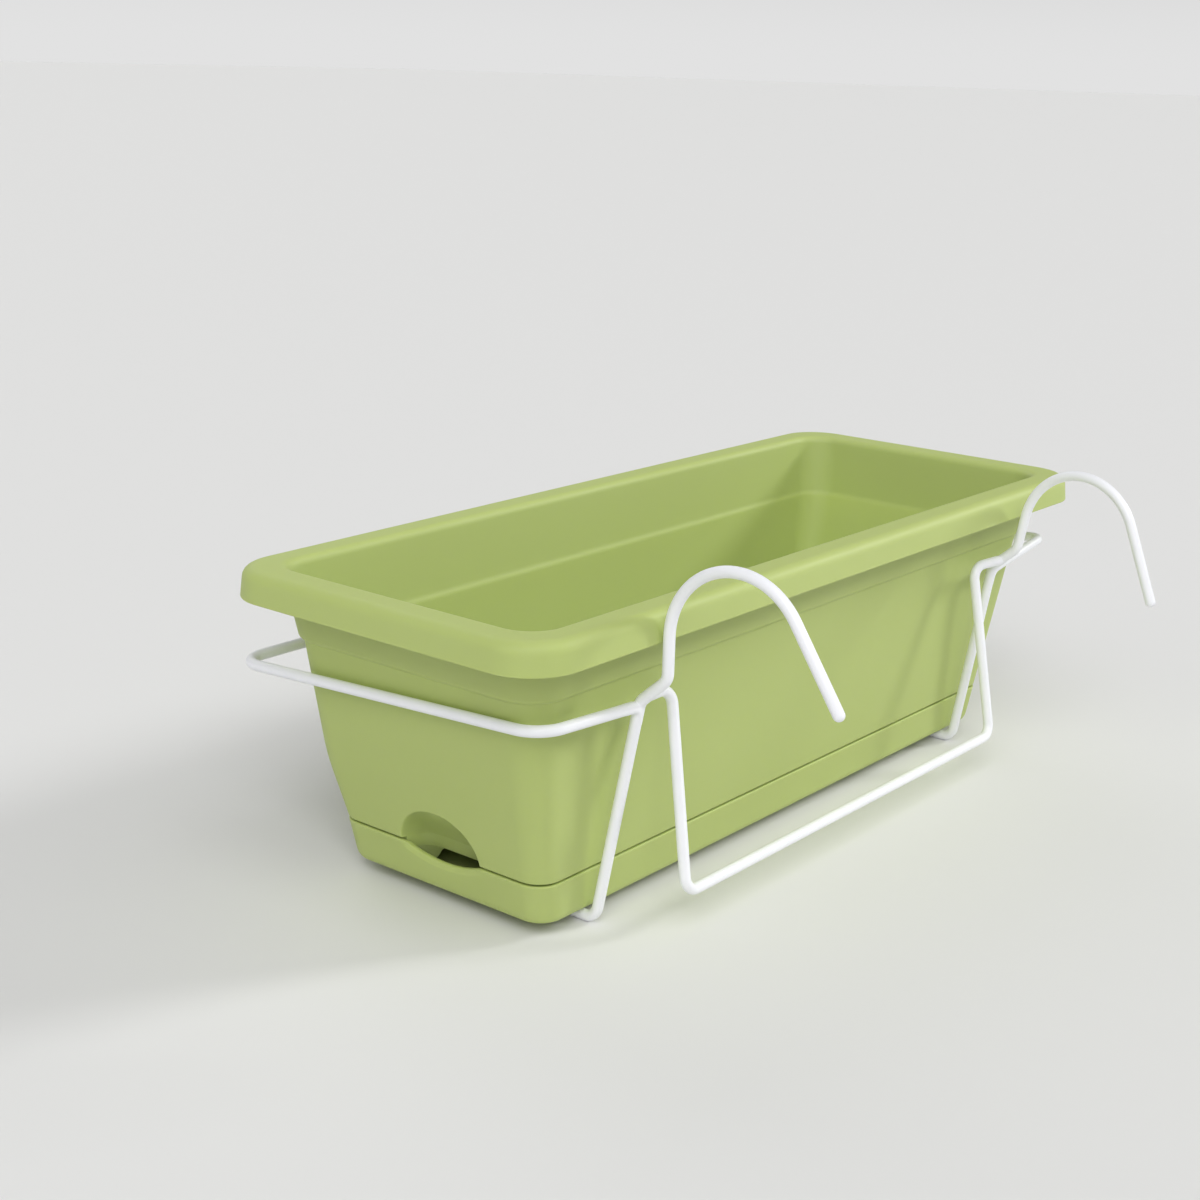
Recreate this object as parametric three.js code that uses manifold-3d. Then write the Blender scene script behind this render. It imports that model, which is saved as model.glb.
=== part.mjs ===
// Railing planter: a tapered plastic trough on a clip-on drip tray, carried by a holder of bent steel wire
// that hooks over a handrail. Sizes are in millimetres and degrees, +Z is up, the trough runs along X and the
// handrail is on the -Y side. The origin is the middle of the footprint, on the ground under the cradle.

import * as THREE from 'three';
import { mergeVertices } from 'three/addons/utils/BufferGeometryUtils.js';
import Module from 'manifold-3d';

const wasm = await Module();
wasm.setup();

// Wire stock: 4 mm steel with powder coat, and the former that it is bent round
const WIRE_DIAMETER = 4.4;
const BEND_RADIUS = 6;
const WELD_GAP = 0.4;
const WIRE_SIDES = 12;
const BEND_STEP = 12;

// Clearances between the pieces
const REST_GAP = 0.3;
const NEST_GAP = 0.4;
const SEAM_GAP = 0.9;

// Drip tray
const TRAY_HEIGHT = 17.5;
const TRAY_TOP_LENGTH = 329;
const TRAY_TOP_WIDTH = 106;
const TRAY_DRAFT_ENDS = 3.7;
const TRAY_DRAFT_SIDES = 1.8;
const TRAY_WALL = 2;
const TRAY_CORNER = 10;
const TRAY_FOOT_RADIUS = 4;
const TRAY_DIP = 4.5;

// Trough body: a lower wall with a crease across its front, and a band that overhangs it under the rim
const RIM_LENGTH = 400;
const RIM_WIDTH = 159;
const POT_HEIGHT = 122;
const POT_WALL = 2.6;
const FLOOR_LIFT = 13.5;
const FLOOR_CORNER = 10;
const CREASE_HEIGHT = 44;
const CREASE_BULGE = 4;
const STEP_HEIGHT = 94.4;
const STEP_DEPTH = 2;
const STEP_RISE = 1.2;
const BAND_FOOT_LENGTH = 365;
const BAND_FOOT_WIDTH = 127.5;
const BAND_TOP_LENGTH = 374;
const BAND_TOP_WIDTH = 134.5;
const BAND_CORNER = 16;

// Folded rim
const RIM_CORNER = 21;
const SKIRT_HEIGHT = 11.8;
const SKIRT_FLARE = 1.3;
const RIM_EDGE_RADIUS = 4.2;
const RIM_LIP_RADIUS = 3;

// Watering scoop in the end wall, over the dip in the tray
const SCOOP_WIDTH = 38.5;
const SCOOP_HEIGHT = 17.3;
const SCOOP_DEPTH = 12;
const SCOOP_FLATNESS = 4;

// Hollow feet that stand in the tray, with a drain hole in each
const FOOT_ROWS = 2;
const FOOT_COLUMNS = 3;
const FOOT_PITCH_X = 112;
const FOOT_PITCH_Y = 54;
const FOOT_RADIUS = 10;
const FOOT_DRAFT = 1.5;
const DRAIN_RADIUS = 3;

// Wire holder: the ring round the trough, the spacer that bears on the balusters and the two hook wires
const RING_END_CLEARANCE = 0.2;
const RING_RAIL_CLEARANCE = 2.2;
const RING_FRONT_CLEARANCE = 28.3;
const RING_HEIGHT = 90;
const RING_DROP = 8;
const RING_BEND = 12;
const RING_RIGHT_REACH = 4;
const RING_RIGHT_RISE = 4;
const HOOK_PITCH = 260.4;
const HOOK_SPLAY = 1.9;
const SPLAY_HEIGHT = 150;
const CRADLE_RAIL_CLEARANCE = 1.75;
const CRADLE_FRONT_CLEARANCE = 3.25;
const JOINT_RISE = 1;
const FRONT_LEG_OVERRUN = 4;
const SHANK_CLEARANCE = 0.3;
const SHANK_FOOT = 101.6;
const SHANK_LENGTH = 16.2;
const ARCH_RADIUS = 28.4;
const ARCH_SWEEP = 146.1;
const HOOK_TAIL = 33.8;
const SPACER_TOP_LENGTH = 225.6;
const SPACER_TOP_OUTSET = 4.3;
const SPACER_TOP_RISE = 2;
const SPACER_END_TRIM = 0.8;
const SPACER_BAR_LENGTH = 235;
const SPACER_BAR_OUTSET = 18.2;
const SPACER_BAR_HEIGHT = 15.3;

// The hooks are set by hand: one stands upright, the other leans out and turns a little to the middle
const LEFT_HOOK = { side: -1, lean: 0, twist: 0 };
const RIGHT_HOOK = { side: 1, lean: 11, twist: 7.8 };

// How finely round corners, edges and pegs are cut
const CORNER_STEPS = 7;
const EDGE_STEPS = 4;
const LIP_STEPS = 3;
const PEG_SIDES = 20;
const DIP_SIDES = 96;
const SCOOP_STEPS = 16;
const SCOOP_LEVEL_ANGLES = [0, 12, 24, 36, 48, 60, 72, 84];

// How far a cutting body runs past the face that it cuts, and how long the cutter of the tray's dip is
const CUT_MARGIN = 2;
const DIP_CUT_LENGTH = 24;

// Points closer than this are one point of a solid
const MERGE_DISTANCE = 1e-4;

// Heights that follow from the sizes above
const wireRadius = WIRE_DIAMETER / 2;
const trayBase = WIRE_DIAMETER + REST_GAP;
const seamHeight = trayBase + TRAY_HEIGHT;
const shoulderHeight = seamHeight + SEAM_GAP;
const floorUnderside = trayBase + FLOOR_LIFT;
const creaseHeight = trayBase + CREASE_HEIGHT;
const stepHeight = trayBase + STEP_HEIGHT;
const lowerWallTop = stepHeight - STEP_RISE;
const rimTop = trayBase + POT_HEIGHT;
const skirtFoot = rimTop - SKIRT_HEIGHT;

const plastic = new THREE.MeshStandardMaterial({ color: 0xa9bb6b, roughness: 0.5, metalness: 0 });
const powderCoat = new THREE.MeshStandardMaterial({ color: 0xf0f1f4, roughness: 0.4, metalness: 0 });

/** A plan rectangle with round corners; its front side may stand out further than its rail side. */
function plan(length, width, corner, bulge = 0) {
  return { halfLength: length / 2, halfWidth: width / 2, corner, bulge };
}

/** A plan rectangle moved in or out by the same amount on every side. */
function inset(size, amount) {
  return {
    ...size,
    halfLength: size.halfLength - amount,
    halfWidth: size.halfWidth - amount,
    corner: Math.max(size.corner - amount, POT_WALL),
  };
}

/** The plan size at a height between two others. */
function between(low, high, share) {
  return {
    halfLength: THREE.MathUtils.lerp(low.halfLength, high.halfLength, share),
    halfWidth: THREE.MathUtils.lerp(low.halfWidth, high.halfWidth, share),
    corner: THREE.MathUtils.lerp(low.corner, high.corner, share),
    bulge: THREE.MathUtils.lerp(low.bulge, high.bulge, share),
  };
}

/** One level ring of a loft: a rectangle with round corners, as a loop of points. */
function roundedRing({ halfLength, halfWidth, corner, bulge }, z) {
  const front = halfWidth + bulge - corner;
  const rail = corner - halfWidth;
  const reach = halfLength - corner;
  const corners = [[reach, front], [-reach, front], [-reach, rail], [reach, rail]];
  return corners.flatMap(([x, y], quarter) => {
    const arc = [];
    for (let step = 0; step <= CORNER_STEPS; step += 1) {
      const angle = ((quarter + step / CORNER_STEPS) * Math.PI) / 2;
      arc.push(new THREE.Vector3(x + corner * Math.cos(angle), y + corner * Math.sin(angle), z));
    }
    return arc;
  });
}

/** A closed body skinned over rings of equal count, with a flat cap on the first and the last. */
function loft(rings) {
  const count = rings[0].length;
  const positions = rings.flat().flatMap((point) => [point.x, point.y, point.z]);
  const index = [];
  for (let level = 0; level < rings.length - 1; level += 1) {
    for (let i = 0; i < count; i += 1) {
      const next = (i + 1) % count;
      const a = level * count + i;
      const b = level * count + next;
      index.push(a, b, b + count, a, b + count, a + count);
    }
  }
  const last = (rings.length - 1) * count;
  for (let i = 1; i < count - 1; i += 1) {
    index.push(0, i + 1, i);
    index.push(last, last + i, last + i + 1);
  }
  const geometry = new THREE.BufferGeometry();
  geometry.setAttribute('position', new THREE.Float32BufferAttribute(positions, 3));
  geometry.setIndex(index);
  return geometry;
}

/** The solid of a closed geometry, for joining and cutting. */
function solidOf(geometry) {
  const bare = geometry.clone();
  bare.deleteAttribute('normal');
  bare.deleteAttribute('uv');
  const merged = mergeVertices(bare, MERGE_DISTANCE);
  return new wasm.Manifold(new wasm.Mesh({
    numProp: 3,
    vertProperties: Float32Array.from(merged.attributes.position.array),
    triVerts: Uint32Array.from(merged.index.array),
  }));
}

/** The geometry of a solid. */
function geometryOf(solid) {
  const mesh = solid.getMesh();
  const geometry = new THREE.BufferGeometry();
  geometry.setAttribute('position', new THREE.BufferAttribute(Float32Array.from(mesh.vertProperties), 3));
  geometry.setIndex(new THREE.BufferAttribute(Uint32Array.from(mesh.triVerts), 1));
  return geometry;
}

/** An upright tapered peg between two heights. */
function peg(x, y, lowRadius, highRadius, low, high) {
  const geometry = new THREE.CylinderGeometry(highRadius, lowRadius, high - low, PEG_SIDES);
  geometry.rotateX(Math.PI / 2);
  geometry.translate(x, y, (low + high) / 2);
  return solidOf(geometry);
}

// Plan sizes of the tray and of the trough at the heights where the wall changes
const trayTop = plan(TRAY_TOP_LENGTH, TRAY_TOP_WIDTH, TRAY_CORNER);
const trayBottom = plan(
  TRAY_TOP_LENGTH - 2 * TRAY_DRAFT_ENDS, TRAY_TOP_WIDTH - 2 * TRAY_DRAFT_SIDES, TRAY_CORNER,
);
const shoulder = plan(TRAY_TOP_LENGTH, TRAY_TOP_WIDTH, FLOOR_CORNER);
const bandFoot = plan(BAND_FOOT_LENGTH, BAND_FOOT_WIDTH, BAND_CORNER);
const bandTop = plan(BAND_TOP_LENGTH, BAND_TOP_WIDTH, BAND_CORNER);
const lowerTop = inset(bandFoot, STEP_DEPTH);

/** The lower wall at a height between the seam and the band, without the crease's bulge. */
function lowerWallAt(z) {
  return between(shoulder, lowerTop, (z - shoulderHeight) / (lowerWallTop - shoulderHeight));
}

// Across the front the lower wall stands out to a crease
const crease = { ...lowerWallAt(creaseHeight), bulge: CREASE_BULGE };

/** The tray's inner wall at a height above its round foot. */
function trayInnerAt(z) {
  const foot = trayBase + TRAY_FOOT_RADIUS;
  return inset(between(trayBottom, trayTop, (z - foot) / (seamHeight - foot)), TRAY_WALL);
}

/** The lip of the trough that nests in the tray. */
function nestRings() {
  return [
    roundedRing(inset(trayInnerAt(floorUnderside), NEST_GAP), floorUnderside),
    roundedRing(inset(trayInnerAt(seamHeight), NEST_GAP), shoulderHeight),
    roundedRing(shoulder, shoulderHeight),
  ];
}

/** Rings of the rim: down inside the skirt, round its foot, up its face, over the edge and into the mouth. */
function rimRings() {
  const foot = plan(RIM_LENGTH, RIM_WIDTH, RIM_CORNER);
  const edgeCentre = rimTop - RIM_EDGE_RADIUS;
  const underside = rimTop - POT_WALL;
  const rings = [
    roundedRing(bandTop, underside),
    roundedRing(inset(foot, SKIRT_FLARE + RIM_EDGE_RADIUS), underside),
    roundedRing(inset(foot, SKIRT_FLARE + POT_WALL), edgeCentre),
    roundedRing(inset(foot, POT_WALL), skirtFoot),
    roundedRing(foot, skirtFoot),
  ];
  for (let step = 0; step <= EDGE_STEPS; step += 1) {
    const angle = (step / EDGE_STEPS) * (Math.PI / 2);
    const inward = SKIRT_FLARE + RIM_EDGE_RADIUS * (1 - Math.cos(angle));
    rings.push(roundedRing(inset(foot, inward), edgeCentre + RIM_EDGE_RADIUS * Math.sin(angle)));
  }
  const mouth = inset(bandTop, POT_WALL);
  for (let step = 0; step <= LIP_STEPS; step += 1) {
    const angle = (step / LIP_STEPS) * (Math.PI / 2);
    const outward = RIM_LIP_RADIUS * (1 - Math.sin(angle));
    rings.push(roundedRing(inset(mouth, -outward), rimTop - RIM_LIP_RADIUS * (1 - Math.cos(angle))));
  }
  return rings;
}

/** The trough's shell, lofted up the outside, over the rim and down the inside to the floor. */
function potShell() {
  const rings = [
    ...nestRings(),
    roundedRing(crease, creaseHeight),
    roundedRing(lowerTop, lowerWallTop),
    roundedRing(bandFoot, stepHeight),
    ...rimRings(),
    roundedRing(inset(bandFoot, POT_WALL), stepHeight),
    roundedRing(inset(lowerTop, POT_WALL), lowerWallTop),
    roundedRing(inset(crease, POT_WALL), creaseHeight),
    roundedRing(inset(shoulder, TRAY_WALL + NEST_GAP + POT_WALL), floorUnderside + POT_WALL),
  ];
  return solidOf(loft(rings));
}

/** The lower wall's outer form without its hollow, which trims what is joined on inside it. */
function lowerEnvelope() {
  const wall = [roundedRing(crease, creaseHeight), roundedRing(lowerTop, lowerWallTop)];
  return solidOf(loft([...nestRings(), ...wall]));
}

/** How far out the end wall stands at a height below its crease. */
function endWallAt(z) {
  const share = Math.max(0, (z - shoulderHeight) / (creaseHeight - shoulderHeight));
  return between(shoulder, crease, share).halfLength;
}

/** The scoop's hollow: level sections that narrow to an arch, each a bowed curve sunk into the end wall. */
function scoopBody(grow, foot) {
  const halfSpan = SCOOP_WIDTH / 2 + grow;
  const rise = SCOOP_HEIGHT + grow;
  const depth = SCOOP_DEPTH + grow;
  const levels = [{ z: foot, height: 0, half: halfSpan }];
  for (const degrees of SCOOP_LEVEL_ANGLES) {
    const angle = THREE.MathUtils.degToRad(degrees);
    const height = Math.sin(angle);
    levels.push({ z: seamHeight + rise * height, height, half: halfSpan * Math.cos(angle) });
  }
  const rings = levels.map(({ z, height, half }) => {
    const wallX = -endWallAt(z);
    const outside = wallX - CUT_MARGIN - POT_WALL;
    const ring = [new THREE.Vector3(outside, half, z), new THREE.Vector3(outside, -half, z)];
    for (let step = 0; step <= SCOOP_STEPS; step += 1) {
      const across = THREE.MathUtils.lerp(-half, half, step / SCOOP_STEPS);
      const radius = Math.min(Math.hypot(across / halfSpan, height), 1);
      ring.push(new THREE.Vector3(wallX + depth * (1 - radius ** SCOOP_FLATNESS), across, z));
    }
    return ring;
  });
  return solidOf(loft(rings));
}

/** The trough: shell, scoop skin and hollow feet, with the scoop and the drains cut out. */
function buildPot() {
  const footBase = trayBase + TRAY_WALL + REST_GAP;
  const floorTop = floorUnderside + POT_WALL;
  const scoopSkin = scoopBody(POT_WALL, floorUnderside).intersect(lowerEnvelope());
  let pot = potShell().add(scoopSkin);
  for (let row = 0; row < FOOT_ROWS; row += 1) {
    for (let column = 0; column < FOOT_COLUMNS; column += 1) {
      const x = (column - (FOOT_COLUMNS - 1) / 2) * FOOT_PITCH_X;
      const y = (row - (FOOT_ROWS - 1) / 2) * FOOT_PITCH_Y;
      const foot = peg(x, y, FOOT_RADIUS - FOOT_DRAFT, FOOT_RADIUS, footBase, floorTop);
      const well = peg(
        x, y, FOOT_RADIUS - FOOT_DRAFT - POT_WALL, FOOT_RADIUS - POT_WALL,
        footBase + POT_WALL, floorTop + CUT_MARGIN,
      );
      const drain = peg(
        x, y, DRAIN_RADIUS, DRAIN_RADIUS,
        footBase - CUT_MARGIN, footBase + POT_WALL + CUT_MARGIN,
      );
      pot = pot.add(foot).subtract(well).subtract(drain);
    }
  }
  return geometryOf(pot.subtract(scoopBody(0, floorUnderside - CUT_MARGIN)));
}

/** The drip tray: a shallow dish with a round foot edge, its rim dipped under the scoop. */
function buildTray() {
  const rings = [];
  for (let step = 0; step <= EDGE_STEPS; step += 1) {
    const angle = (step / EDGE_STEPS) * (Math.PI / 2);
    const inward = TRAY_FOOT_RADIUS * (1 - Math.sin(angle));
    rings.push(roundedRing(inset(trayBottom, inward), trayBase + TRAY_FOOT_RADIUS * (1 - Math.cos(angle))));
  }
  const innerFoot = trayInnerAt(trayBase + TRAY_FOOT_RADIUS);
  rings.push(
    roundedRing(trayTop, seamHeight),
    roundedRing(trayInnerAt(seamHeight), seamHeight),
    roundedRing(innerFoot, trayBase + TRAY_FOOT_RADIUS),
    roundedRing(inset(innerFoot, TRAY_FOOT_RADIUS - TRAY_WALL), trayBase + TRAY_WALL),
  );
  const halfChord = SCOOP_WIDTH / 2;
  const dipRadius = (halfChord ** 2 + TRAY_DIP ** 2) / (2 * TRAY_DIP);
  const cutter = new THREE.CylinderGeometry(dipRadius, dipRadius, DIP_CUT_LENGTH, DIP_SIDES);
  cutter.rotateZ(Math.PI / 2);
  cutter.translate(-trayTop.halfLength, 0, seamHeight - TRAY_DIP + dipRadius);
  return geometryOf(solidOf(loft(rings)).subtract(solidOf(cutter)));
}

/** A wire's centre line as stations with tangents: straight runs joined by true round bends. */
function wireStations(corners) {
  const stations = [];
  const put = (point, tangent) => {
    stations.push({ point: point.clone(), tangent: tangent.clone().normalize() });
  };
  const first = corners[0].point;
  put(first, corners[1].point.clone().sub(first));
  for (let i = 1; i < corners.length - 1; i += 1) {
    const { point, radius = BEND_RADIUS } = corners[i];
    const into = point.clone().sub(corners[i - 1].point).normalize();
    const out = corners[i + 1].point.clone().sub(point).normalize();
    const turn = into.angleTo(out);
    const axis = new THREE.Vector3().crossVectors(into, out).normalize();
    const start = point.clone().addScaledVector(into, -radius * Math.tan(turn / 2));
    const centre = start.clone().addScaledVector(new THREE.Vector3().crossVectors(axis, into), radius);
    const steps = Math.max(2, Math.ceil(THREE.MathUtils.radToDeg(turn) / BEND_STEP));
    for (let step = 0; step <= steps; step += 1) {
      const angle = (turn * step) / steps;
      const arm = start.clone().sub(centre).applyAxisAngle(axis, angle);
      put(centre.clone().add(arm), into.clone().applyAxisAngle(axis, angle));
    }
  }
  const last = corners[corners.length - 1].point;
  put(last, last.clone().sub(corners[corners.length - 2].point));
  return stations;
}

/** A curve through wire stations that keeps one flat of the section square to a given direction. */
class WirePath extends THREE.Curve {
  constructor(stations, across) {
    super();
    this.stations = stations;
    this.across = across;
  }

  getSpacedPoints() {
    return this.stations.map((station) => station.point);
  }

  computeFrenetFrames() {
    const tangents = this.stations.map((station) => station.tangent);
    const normals = tangents.map((tangent) => (
      this.across.clone().addScaledVector(tangent, -this.across.dot(tangent)).normalize()
    ));
    const binormals = tangents.map((tangent, i) => new THREE.Vector3().crossVectors(tangent, normals[i]));
    return { tangents, normals, binormals };
  }
}

/** The wire's section: a polygon with a flat on each axis, as wide across flats as the wire. */
function wireSection() {
  const corner = wireRadius / Math.cos(Math.PI / WIRE_SIDES);
  const points = [];
  for (let i = 0; i < WIRE_SIDES; i += 1) {
    const angle = ((i + 0.5) * 2 * Math.PI) / WIRE_SIDES;
    points.push(new THREE.Vector2(corner * Math.cos(angle), corner * Math.sin(angle)));
  }
  return new THREE.Shape(points);
}

/** A bent wire, with a round tip at its first end where one is asked for. */
function bentWire(corners, across, roundTip = false) {
  const stations = wireStations(corners);
  const extrudePath = new WirePath(stations, across);
  const wire = solidOf(new THREE.ExtrudeGeometry(wireSection(), { steps: stations.length - 1, extrudePath }));
  if (!roundTip) {
    return geometryOf(wire);
  }
  const ball = new THREE.SphereGeometry(wireRadius, WIRE_SIDES, WIRE_SIDES / 2);
  const tip = stations[0].point;
  ball.translate(tip.x, tip.y, tip.z);
  return geometryOf(wire.add(solidOf(ball)));
}

// The ring goes round the lower wall, and the cradle's corners stand outside the tray's rim
const ringFrontHeight = RING_HEIGHT - RING_DROP;
const ringHalfLength = lowerWallAt(RING_HEIGHT).halfLength + RING_END_CLEARANCE + wireRadius;
const ringRailY = -(lowerWallAt(RING_HEIGHT).halfWidth + RING_RAIL_CLEARANCE + wireRadius);
const ringFrontY = lowerWallAt(ringFrontHeight).halfWidth + RING_FRONT_CLEARANCE + wireRadius;
const cradleRailY = -(trayTop.halfWidth + CRADLE_RAIL_CLEARANCE);
const cradleFrontY = trayTop.halfWidth + CRADLE_FRONT_CLEARANCE;

// Two welded wires lap side by side, and each leg leans so that it laps the ring
const lap = WIRE_DIAMETER + WELD_GAP;
const railLean = legLean(cradleRailY - ringRailY, RING_HEIGHT - wireRadius, 1);
const frontLean = legLean(ringFrontY - cradleFrontY, ringFrontHeight - wireRadius, -1);

/** A leg's lean from its foot to the wire that it laps, on that wire's outer (1) or inner (-1) side. */
function legLean(out, rise, lapSide) {
  return Math.atan2(out, rise) + lapSide * Math.asin(lap / Math.hypot(out, rise));
}

/** How far from the middle a hook wire stands at a height: its legs splay outward on the way down. */
function hookX(z) {
  return HOOK_PITCH / 2 + (SPLAY_HEIGHT - z) * Math.tan(THREE.MathUtils.degToRad(HOOK_SPLAY));
}

/** A point on a hook wire's plane, on the given side. */
function onHookPlane(side, y, z) {
  return new THREE.Vector3(side * hookX(z), y, z);
}

/** The ring round the trough, from one rail joint round the front to the other; its right end is bent up. */
function buildRing() {
  const endX = hookX(RING_HEIGHT) + WELD_GAP / 2;
  const corner = (x, y, z) => ({ point: new THREE.Vector3(x, y, z), radius: RING_BEND });
  return bentWire([
    corner(-endX, ringRailY, RING_HEIGHT),
    corner(-ringHalfLength, ringRailY, RING_HEIGHT),
    corner(-ringHalfLength, ringFrontY, ringFrontHeight),
    corner(ringHalfLength, ringFrontY, ringFrontHeight),
    corner(ringHalfLength + RING_RIGHT_REACH, ringRailY, RING_HEIGHT + RING_RIGHT_RISE),
    corner(endX, ringRailY, RING_HEIGHT),
  ], new THREE.Vector3(0, 0, 1));
}

/** The spacer: from the ring's ends out to the outer legs, down them and along the bar on the balusters. */
function buildSpacer() {
  const endX = hookX(RING_HEIGHT) - WELD_GAP / 2 - SPACER_END_TRIM;
  const topX = SPACER_TOP_LENGTH / 2;
  const topY = ringRailY - SPACER_TOP_OUTSET;
  const topZ = RING_HEIGHT + SPACER_TOP_RISE;
  const barX = SPACER_BAR_LENGTH / 2;
  const barY = ringRailY - SPACER_BAR_OUTSET;
  const corner = (x, y, z) => ({ point: new THREE.Vector3(x, y, z) });
  return bentWire([
    corner(-endX, ringRailY, RING_HEIGHT),
    corner(-topX, topY, topZ),
    corner(-barX, barY, SPACER_BAR_HEIGHT),
    corner(barX, barY, SPACER_BAR_HEIGHT),
    corner(topX, topY, topZ),
    corner(endX, ringRailY, RING_HEIGHT),
  ], new THREE.Vector3(0, 1, 0));
}

/** One hook wire: hook, shank, step under the rim, rail leg, cradle under the tray and front leg. */
function buildHookWire({ side, lean, twist }) {
  const jointZ = RING_HEIGHT + JOINT_RISE;
  const jointY = cradleRailY - (jointZ - wireRadius) * Math.tan(railLean);
  const legTop = ringFrontHeight + FRONT_LEG_OVERRUN;
  const legTopY = cradleFrontY + (legTop - wireRadius) * Math.tan(frontLean);

  // The hook is drawn upright over the shank's foot, then leaned outward and twisted about that foot
  const archTangent = ARCH_RADIUS * Math.tan(THREE.MathUtils.degToRad(ARCH_SWEEP / 2));
  const tailTurn = THREE.MathUtils.degToRad(ARCH_SWEEP);
  const shankY = -(RIM_WIDTH / 2 + SHANK_CLEARANCE + wireRadius);
  const foot = onHookPlane(side, shankY, SHANK_FOOT);
  const archCorner = new THREE.Vector3(0, 0, SHANK_LENGTH + archTangent);
  const tailRun = new THREE.Vector3(0, -Math.sin(tailTurn), Math.cos(tailTurn));
  const tip = archCorner.clone().addScaledVector(tailRun, archTangent + HOOK_TAIL);
  const set = (point) => point
    .applyAxisAngle(new THREE.Vector3(1, 0, 0), THREE.MathUtils.degToRad(lean))
    .applyAxisAngle(new THREE.Vector3(0, 0, 1), -side * THREE.MathUtils.degToRad(twist))
    .add(foot);
  return bentWire([
    { point: set(tip) },
    { point: set(archCorner), radius: ARCH_RADIUS },
    { point: foot },
    { point: onHookPlane(side, jointY, jointZ) },
    { point: onHookPlane(side, cradleRailY, wireRadius) },
    { point: onHookPlane(side, cradleFrontY, wireRadius) },
    { point: onHookPlane(side, legTopY, legTop) },
  ], new THREE.Vector3(1, 0, 0), true);
}

/** A named mesh of the planter. */
function piece(name, geometry, material) {
  const mesh = new THREE.Mesh(geometry, material);
  mesh.name = name;
  return mesh;
}

const planter = new THREE.Group();
planter.add(
  piece('pot', buildPot(), plastic),
  piece('drip_tray', buildTray(), plastic),
  piece('ring_wire', buildRing(), powderCoat),
  piece('spacer_wire', buildSpacer(), powderCoat),
  piece('hook_wire_left', buildHookWire(LEFT_HOOK), powderCoat),
  piece('hook_wire_right', buildHookWire(RIGHT_HOOK), powderCoat),
);

// The origin goes to the middle of the footprint, on the ground
const footprint = new THREE.Box3().setFromObject(planter);
const centre = footprint.getCenter(new THREE.Vector3());
planter.position.set(-centre.x, -centre.y, -footprint.min.z);

export default planter;
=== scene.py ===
"""Railing planter: a moulded trough on a clip-on drip tray, carried by a holder of powder-coated wire.

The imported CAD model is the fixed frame. Each piece is built where its CAD node lies, stands for that node
and rides on the body that carries it. Sizes are in millimetres, as on a maker's drawing, and turn into metres
only when a mesh is made. The trough runs along X, its watering scoop is at the -X end and the rail is on the
-Y side.
"""

import logging
import math
from collections.abc import Iterable, Sequence
from dataclasses import astuple, dataclass, replace
from enum import Enum

import bmesh
import bpy
from mathutils import Matrix, Vector


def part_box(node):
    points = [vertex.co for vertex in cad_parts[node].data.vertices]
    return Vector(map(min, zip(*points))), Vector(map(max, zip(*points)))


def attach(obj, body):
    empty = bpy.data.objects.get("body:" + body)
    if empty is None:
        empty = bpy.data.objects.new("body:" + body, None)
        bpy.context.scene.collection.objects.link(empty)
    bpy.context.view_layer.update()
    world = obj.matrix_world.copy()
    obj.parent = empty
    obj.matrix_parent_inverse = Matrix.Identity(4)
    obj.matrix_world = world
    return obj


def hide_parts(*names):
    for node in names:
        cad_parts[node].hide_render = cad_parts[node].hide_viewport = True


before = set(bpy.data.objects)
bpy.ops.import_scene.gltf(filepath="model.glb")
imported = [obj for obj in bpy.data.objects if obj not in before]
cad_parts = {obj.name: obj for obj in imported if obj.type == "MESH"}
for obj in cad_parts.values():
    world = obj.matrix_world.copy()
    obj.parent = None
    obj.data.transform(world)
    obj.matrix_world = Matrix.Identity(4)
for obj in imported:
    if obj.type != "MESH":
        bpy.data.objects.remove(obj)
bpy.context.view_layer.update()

log = logging.getLogger("railing_planter")

Socket = bpy.types.NodeSocket
Settings = dict[str | int, object]
Form = bmesh.types.BMesh
Ring = list[bmesh.types.BMVert]
RingOffsets = tuple[tuple[float, float], ...]

MM = 0.001

# Points nearer to each other than this are one vertex, in metres
SAME_POINT = 1e-6

# How near to a wall's outermost point its points belong to the end wall, in millimetres
END_TOLERANCE = 0.01


def to_linear(colour: str) -> tuple[float, float, float, float]:
    """Turn an sRGB hex colour into the linear colour that a socket takes.

    Args:
        colour: Six hex digits after a hash.

    Returns:
        Linear red, green and blue, with an alpha of one.
    """
    channels = [int(colour[start:start + 2], 16) / 255 for start in (1, 3, 5)]
    red, green, blue = (c / 12.92 if c <= 0.04045 else ((c + 0.055) / 1.055) ** 2.4 for c in channels)
    return red, green, blue, 1.0


@dataclass(frozen=True)
class Spots:
    """A noise: the size of its largest spots, how many finer layers it has and how strong these are."""

    size_mm: float
    detail: float
    roughness: float = 0.5


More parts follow.
